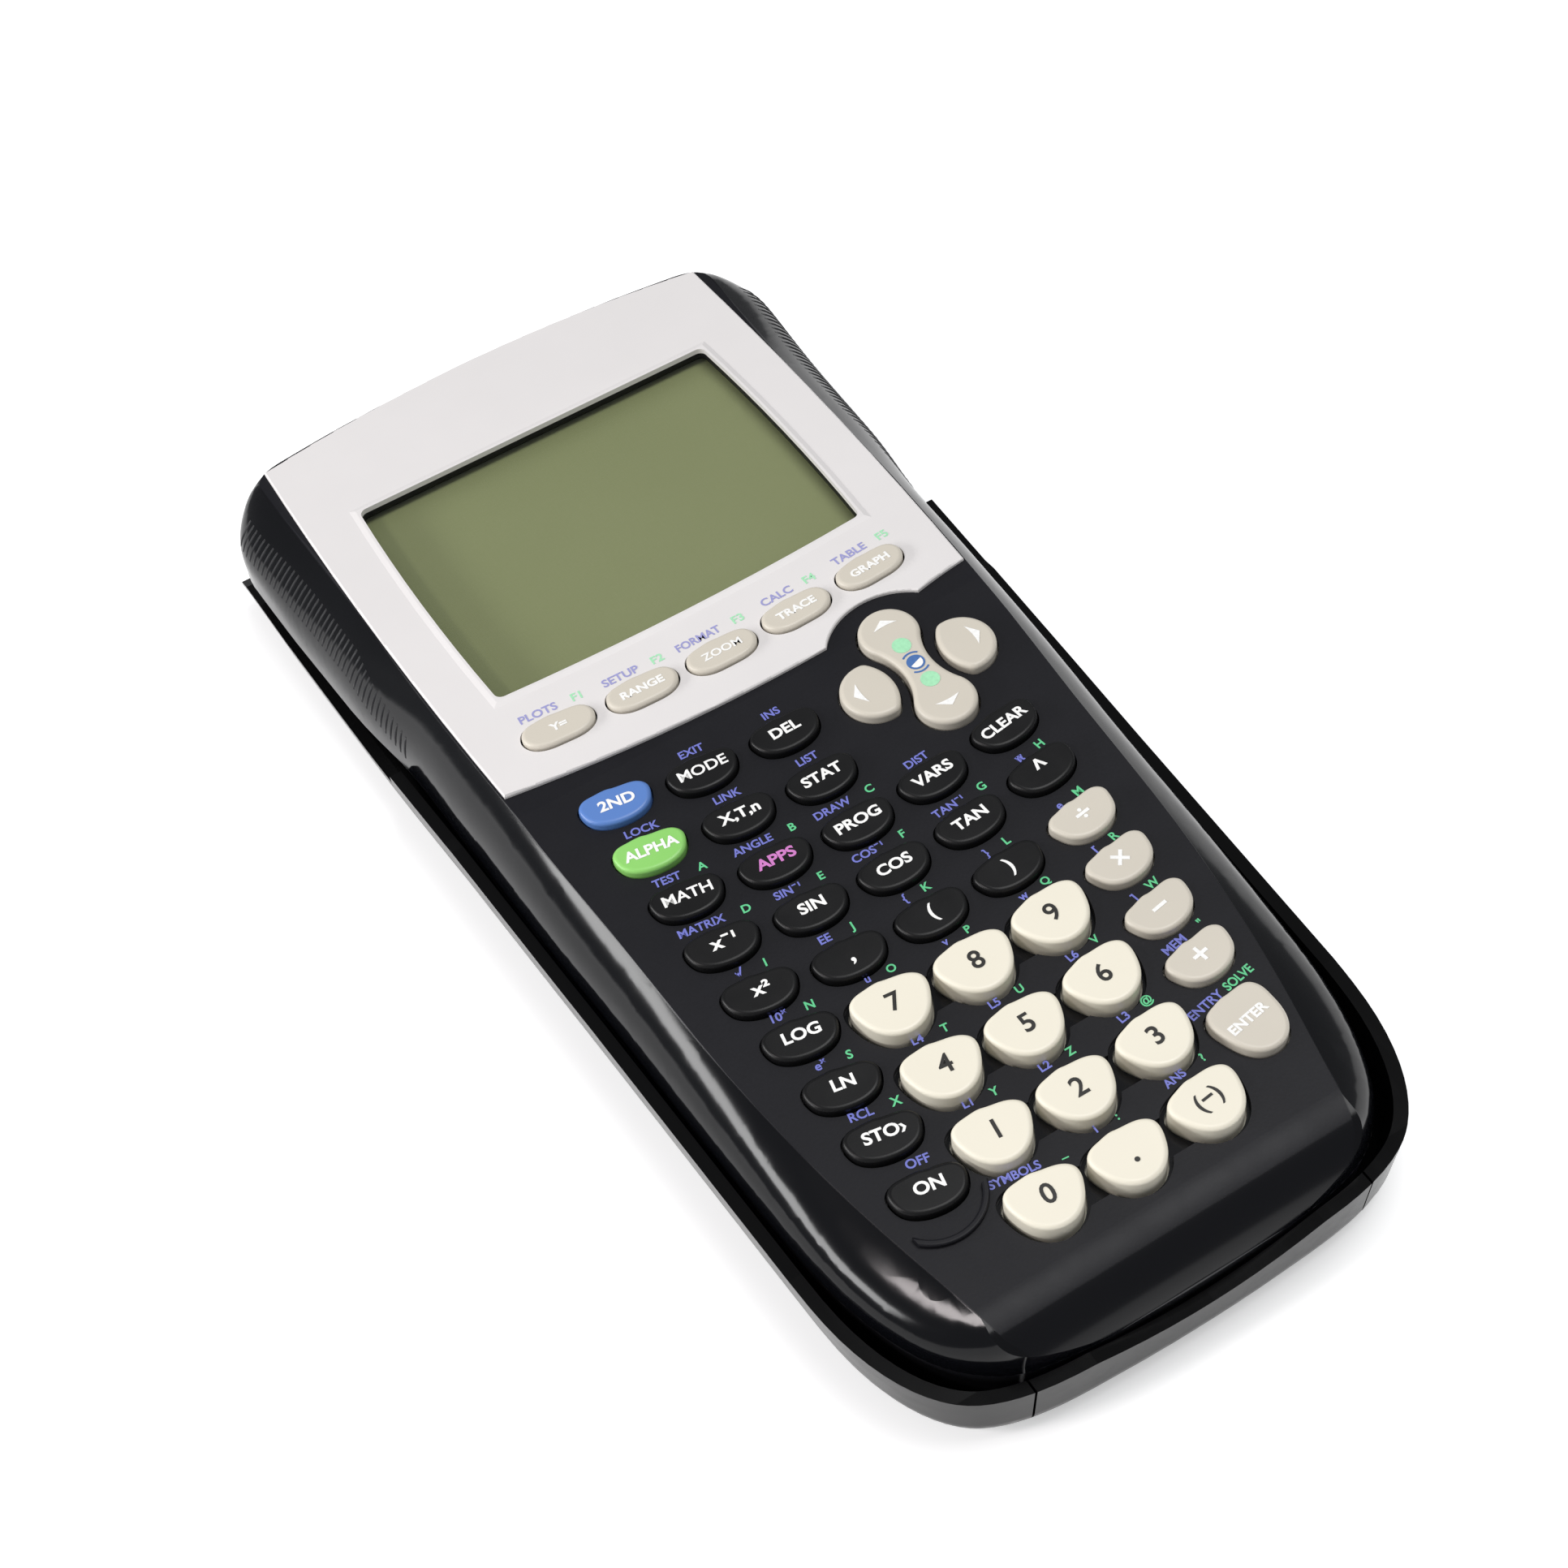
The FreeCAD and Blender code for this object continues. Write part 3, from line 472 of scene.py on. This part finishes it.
# ---- legends ----
# Key: main word, its height in mm, left label, right label.
LEGENDS = {
    "plot": ("Y=", 1.3, "PLOTS", "F1"), "range": ("RANGE", 1.3, "SETUP", "F2"),
    "zoom": ("ZOOM", 1.3, "FORMAT", "F3"), "trace": ("TRACE", 1.3, "CALC", "F4"),
    "graph": ("GRAPH", 1.3, "TABLE", "F5"),
    "second": ("2ND", 1.65, "", ""), "mode": ("MODE", 1.65, "EXIT", ""), "delete": ("DEL", 1.65, "INS", ""),
    "alpha": ("ALPHA", 1.6, "LOCK", ""), "variable": ("X,T,n", 1.65, "LINK", ""),
    "stat": ("STAT", 1.65, "LIST", ""),
    "math": ("MATH", 1.65, "TEST", "A"), "apps": ("APPS", 1.65, "ANGLE", "B"),
    "program": ("PROG", 1.65, "DRAW", "C"), "vars": ("VARS", 1.65, "DIST", ""),
    "clear": ("CLEAR", 1.6, "", ""),
    "reciprocal": ("x⁻¹", 1.9, "MATRIX", "D"), "sin": ("SIN", 1.65, "SIN⁻¹", "E"),
    "cos": ("COS", 1.65, "COS⁻¹", "F"), "tan": ("TAN", 1.65, "TAN⁻¹", "G"),
    "power": ("^", 2.8, "π", "H"),
    "square": ("x²", 1.9, "√", "I"), "comma": (",", 2.6, "EE", "J"), "paren_open": ("(", 2.2, "{", "K"),
    "paren_close": (")", 2.2, "}", "L"), "divide": ("÷", 3.0, "e", "M"),
    "log": ("LOG", 1.65, "10ˣ", "N"), "7": ("7", 2.65, "u", "O"), "8": ("8", 2.65, "v", "P"),
    "9": ("9", 2.65, "w", "Q"), "multiply": ("×", 3.2, "[", "R"),
    "ln": ("LN", 1.65, "eˣ", "S"), "4": ("4", 2.65, "L4", "T"), "5": ("5", 2.65, "L5", "U"),
    "6": ("6", 2.65, "L6", "V"), "minus": ("−", 3.2, "]", "W"),
    "store": ("STO›", 1.65, "RCL", "X"), "1": ("1", 2.65, "L1", "Y"), "2": ("2", 2.65, "L2", "Z"),
    "3": ("3", 2.65, "L3", "@"), "plus": ("+", 3.2, "MEM", "\""),
    "on": ("ON", 1.65, "OFF", ""), "0": ("0", 2.65, "SYMBOLS", "_"), "point": (".", 3.4, "i", ":"),
    "negate": ("(−)", 2.2, "ANS", "?"), "enter": ("ENTER", 1.3, "ENTRY", "SOLVE"),
}
# How far above the key's middle its labels stand, in mm, for the five columns.
LABEL_RISE = {
    "plate": (4.25, 4.3, 4.45, 4.4, 4.4), "dark": (4.4, 4.55, 4.55, 4.2, 3.9),
    "ivory": (6.2, 6.15, 6.0, 5.7, 5.6), "beige": (3.9, 3.9, 3.9, 3.9, 3.9),
}
LABEL_GAP = 3.0 * MM
ROWS = [
    (("plot", "range", "zoom", "trace", "graph"), (2, 4)),
    (("second", "mode", "delete", None, None), (4, 8)),
    (("alpha", "variable", "stat", None, None), (4, 8)),
    (("math", "apps", "program", "vars", "clear"), (4, 8)),
    (("reciprocal", "sin", "cos", "tan", "power"), (4, 8)),
    (("square", "comma", "paren_open", "paren_close", "divide"), (4, 9)),
    (("log", "7", "8", "9", "multiply"), (6, 9)),
    (("ln", "4", "5", "6", "minus"), (7, 10)),
    (("store", "1", "2", "3", "plus"), (7, 10)),
    (("on", "0", "point", "negate", "enter"), (7, 10)),
]


def width_of(points):
    return max(p.x for p in points) - min(p.x for p in points)


def add_labels(name, column, x, y, turn, plate, prints):
    """The left and right labels above a key, printed on the case or on the faceplate."""
    finish = key_finish(name)
    rise = LABEL_RISE["plate" if plate else "dark" if finish in ("blue", "green") else finish][column]
    if name == "enter":
        rise = 5.6
    left, right = LEGENDS[name][2:]
    along = -1.4 if right else 0.2
    if column > 2 and right:
        along = -0.6
    if finish == "ivory":
        along += 0.4
    if name == "enter":
        along = -1.5
    if name == "0":
        along = -1.9
        rise = 5.3
    size = (1.4 if plate else 1.15 if finish == "ivory" else 1.25) * MM
    spots = []
    edge = along * MM
    if left:
        points, faces = text_mesh(left, size, LABEL_BOLD, 1.0, LEFT_LABEL_WIDTH)
        spots.append((points, faces, along * MM, prints[0]))
        edge += width_of(points) / 2
    if right:
        points, faces = text_mesh(right, size, LABEL_BOLD, 1.0, RIGHT_LABEL_WIDTH)
        spots.append((points, faces, max(edge + LABEL_GAP, 1.9 * MM), prints[1]))
    for points, faces, shift, target in spots:
        lx = x + shift * math.cos(turn) - rise * MM * math.sin(turn)
        ly = y + shift * math.sin(turn) + rise * MM * math.cos(turn)
        lz = (FACE_Z if plate else keypad_height(ly)) + PRINT_LIFT
        target.add(points, faces, keypad_matrix(lx, ly, lz, turn))


def add_legends():
    dark_prints = (Print(), Print())
    pale_prints = (Print(), Print())
    for names, turns in ROWS:
        plate = names[0] == "plot"
        for column, (name, angle) in enumerate(zip(names, (-turns[1], -turns[0], 0, turns[0], turns[1]))):
            if name is None:
                continue
            node_name = "key_" + name
            low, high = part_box(node_name)
            x = (low[0] + high[0]) / 2
            y = (low[1] + high[1]) / 2
            turn = math.radians(angle)
            top = surface(node_name).ray_cast(Vector((x, y, 0.1)), Vector((0, 0, -1)))[0].z
            words, height = LEGENDS[name][:2]
            finish = key_finish(name)
            tone = "black" if finish == "ivory" else "pink" if name == "apps" else "white"
            thin = finish == "ivory" or len(words) == 1
            bold = (0.06 if thin else 0.04 if "M" in words else 0.07) * MM
            points, faces = text_mesh(words, height * MM, bold, 1.0 if thin else 1.08, LEGEND_WIDTH)
            lift = 0.25 * MM if finish in ("ivory", "dark") else 0.0
            mark = Print()
            mark.add(points, faces, keypad_matrix(x - lift * math.sin(turn), y + lift * math.cos(turn),
                                                  top + PRINT_LIFT + lift * math.tan(KEYPAD_SLOPE), turn))
            mark.make("legend_" + name, INK[tone], body_name(node_name), "key_" + finish)
            add_labels(name, column, x, y, turn, plate, pale_prints if plate else dark_prints)
    dark_prints[0].make("labels_left", INK["violet"], CASE, "case_black")
    dark_prints[1].make("labels_right", INK["mint"], CASE, "case_black")
    pale_prints[0].make("labels_plate_left", INK["grey_violet"], CASE, "faceplate_grey")
    pale_prints[1].make("labels_plate_right", INK["pale_mint"], CASE, "faceplate_grey")


def add_arrow_marks():
    low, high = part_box("arrow_rocker")
    x = (low[0] + high[0]) / 2
    y = (low[1] + high[1]) / 2
    top = surface("arrow_rocker").ray_cast(Vector((x, y, 0.1)), Vector((0, 0, -1)))[0].z + PRINT_LIFT
    frame_of_rocker = keypad_matrix(x, y, top, 0.0)
    white, green, blue = Print(), Print(), Print()
    arrow = flat_shape(chevron(1.9 * MM, 1.35 * MM, 1.15 * MM))
    for sign in (1, -1):
        turn = Matrix.Rotation(0.0 if sign > 0 else math.pi, 4, "Z")
        white.add(*arrow, frame_of_rocker @ Matrix.Translation((0, sign * 9.1 * MM, 0)) @ turn)
        green.add(*flat_shape(disc(1.35 * MM)), frame_of_rocker @ Matrix.Translation((0, sign * 3.6 * MM, 0)))
        arc = disc(1.95 * MM, 14, math.radians(50 if sign > 0 else 230), math.radians(80))
        inner = [(px * 0.86, py * 0.86) for px, py in reversed(arc)]
        blue.add(*flat_shape(arc + inner), frame_of_rocker)
    blue.add(*flat_shape(disc(1.3 * MM)), frame_of_rocker)
    half = flat_shape(disc(1.0 * MM, 20, math.radians(200), math.pi))
    white.add(*half, Matrix.Translation((0, 0, 0.02 * MM)) @ frame_of_rocker)
    white.make("rocker_arrows", INK["white"], "arrow_rocker", "key_beige")
    green.make("rocker_dots", INK["pale_mint"], "arrow_rocker", "key_beige")
    blue.make("rocker_centre", INK["blue"], "arrow_rocker", "key_beige")
    for name, sign in (("key_left", -1), ("key_right", 1)):
        low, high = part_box(name)
        x = (low[0] + high[0]) / 2
        y = (low[1] + high[1]) / 2
        z = surface(name).ray_cast(Vector((x, y, 0.1)), Vector((0, 0, -1)))[0].z + PRINT_LIFT
        mark = Print()
        place = keypad_matrix(x, y, z, -sign * math.pi / 2)
        mark.add(*arrow, place @ Matrix.Translation((0, 2.2 * MM, 0)))
        mark.make("arrow_" + name[4:], INK["white"], name, "key_beige")


def rib_band(y):
    """Lowest and highest point of a grip rib: the band runs along the shoulder and dips at its lower end."""
    dip = max(0.0, 52.0 * MM - y) * 0.19
    return 18.3 * MM - dip, 22.1 * MM - dip


def add_ribs():
    """Fine grip ribs across both outer shoulders of the display end."""
    tree = surface("front_case")
    for side, label in ((-1, "left"), (1, "right")):
        points, faces = [], []
        for count in range(RIB_COUNT):
            y = (RIB_START_Y + RIB_PITCH * count) * MM
            low, high = rib_band(y)
            line = []
            for i in range(RIB_STEPS):
                z = low + (high - low) * i / (RIB_STEPS - 1)
                place, normal, _, _ = tree.ray_cast(Vector((side * 0.06, y, z)), Vector((-side, 0, 0)))
                if place is not None and abs(place.x) > 0.03:
                    line.append((place, normal if normal.x * side > 0 else -normal))
            if len(line) < RIB_STEPS:
                continue
            start = len(points)
            for i, (place, normal) in enumerate(line):
                swell = math.sin(math.pi * (i + 0.5) / RIB_STEPS) ** 0.5
                for j in range(RIB_SIDES + 1):
                    a = math.pi * j / RIB_SIDES
                    rise = normal * (math.sin(a) * RIB_RADIUS * 0.75 * swell)
                    off = Vector((0, math.cos(a) * RIB_RADIUS, 0)) + rise
                    points.append(place + off - normal * 0.05 * MM)
            ring = RIB_SIDES + 1
            for i in range(RIB_STEPS - 1):
                for j in range(RIB_SIDES):
                    a = start + ring * i + j
                    faces.append((a, a + 1, a + ring + 1, a + ring))
            faces.append(tuple(start + j for j in range(ring)))
            faces.append(tuple(start + ring * (RIB_STEPS - 1) + j for j in reversed(range(ring))))
        mesh_piece("grip_ribs_" + label, points, faces, FINISHES["ribs"], CASE)


add_legends()
add_arrow_marks()
add_ribs()


# ---- floor, light, camera ----
def add_floor():
    material, tree, shader = new_material("studio_floor")
    cloud = noise(tree, 6.0, 2.0)
    tree.links.new(mix(tree, span(tree, cloud, 0.0, 1.0), (0.86, 0.86, 0.86), (0.88, 0.88, 0.88)),
                   shader.inputs["Base Color"])
    shader.inputs["Roughness"].default_value = 0.8
    shader.inputs["Emission Color"].default_value = (1, 1, 1, 1)
    shader.inputs["Emission Strength"].default_value = 0.42
    mesh = bpy.data.meshes.new("floor")
    half = FLOOR_HALF
    corners = [(-half, -half, 0), (half, -half, 0), (half, half, 0), (-half, half, 0)]
    mesh.from_pydata(corners, [], [(0, 1, 2, 3)])
    floor = bpy.data.objects.new("floor", mesh)
    floor.location.z = cad_box[0][2] - 0.05 * MM
    bpy.context.scene.collection.objects.link(floor)
    mesh.materials.append(material)


def add_light(name, place, aim, size, power, colour=(1, 1, 1)):
    lamp = bpy.data.lights.new(name, "AREA")
    lamp.shape = "RECTANGLE"
    lamp.size, lamp.size_y = size
    lamp.energy = power
    lamp.color = colour
    obj = bpy.data.objects.new(name, lamp)
    obj.location = place
    obj.rotation_euler = (Vector(aim) - Vector(place)).to_track_quat("-Z", "Y").to_euler()
    bpy.context.scene.collection.objects.link(obj)


def add_world():
    world = bpy.data.worlds.new("studio")
    world.use_nodes = True
    back = world.node_tree.nodes["Background"]
    back.inputs["Color"].default_value = (0.95, 0.97, 1.0, 1)
    back.inputs["Strength"].default_value = 0.33
    bpy.context.scene.world = world


def add_camera():
    data = bpy.data.cameras.new("camera")
    data.sensor_width = 36.0
    data.lens = 59.8
    camera = bpy.data.objects.new("camera", data)
    camera.location = (-0.09302, -0.21389, 0.28683)
    camera.rotation_euler = Euler([math.radians(a) for a in (40.0213, 6.5833, -30.9199)], "XYZ")
    bpy.context.scene.collection.objects.link(camera)
    bpy.context.scene.camera = camera


add_floor()
add_light("key_light", (0.23, -0.12, 0.83), (0, 0, 0), (0.5, 0.5), 4.1)
add_light("strip_left", (-0.64, 0.18, 0.23), (-0.035, -0.03, 0.02), (0.5, 0.11), 3.0)
add_light("patch_left", (-0.52, -0.02, 0.53), (-0.028, -0.08, 0.019), (0.12, 0.10), 1.1, (1.0, 0.93, 0.93))
add_world()
add_camera()
bpy.context.scene.view_settings.view_transform = "Standard"
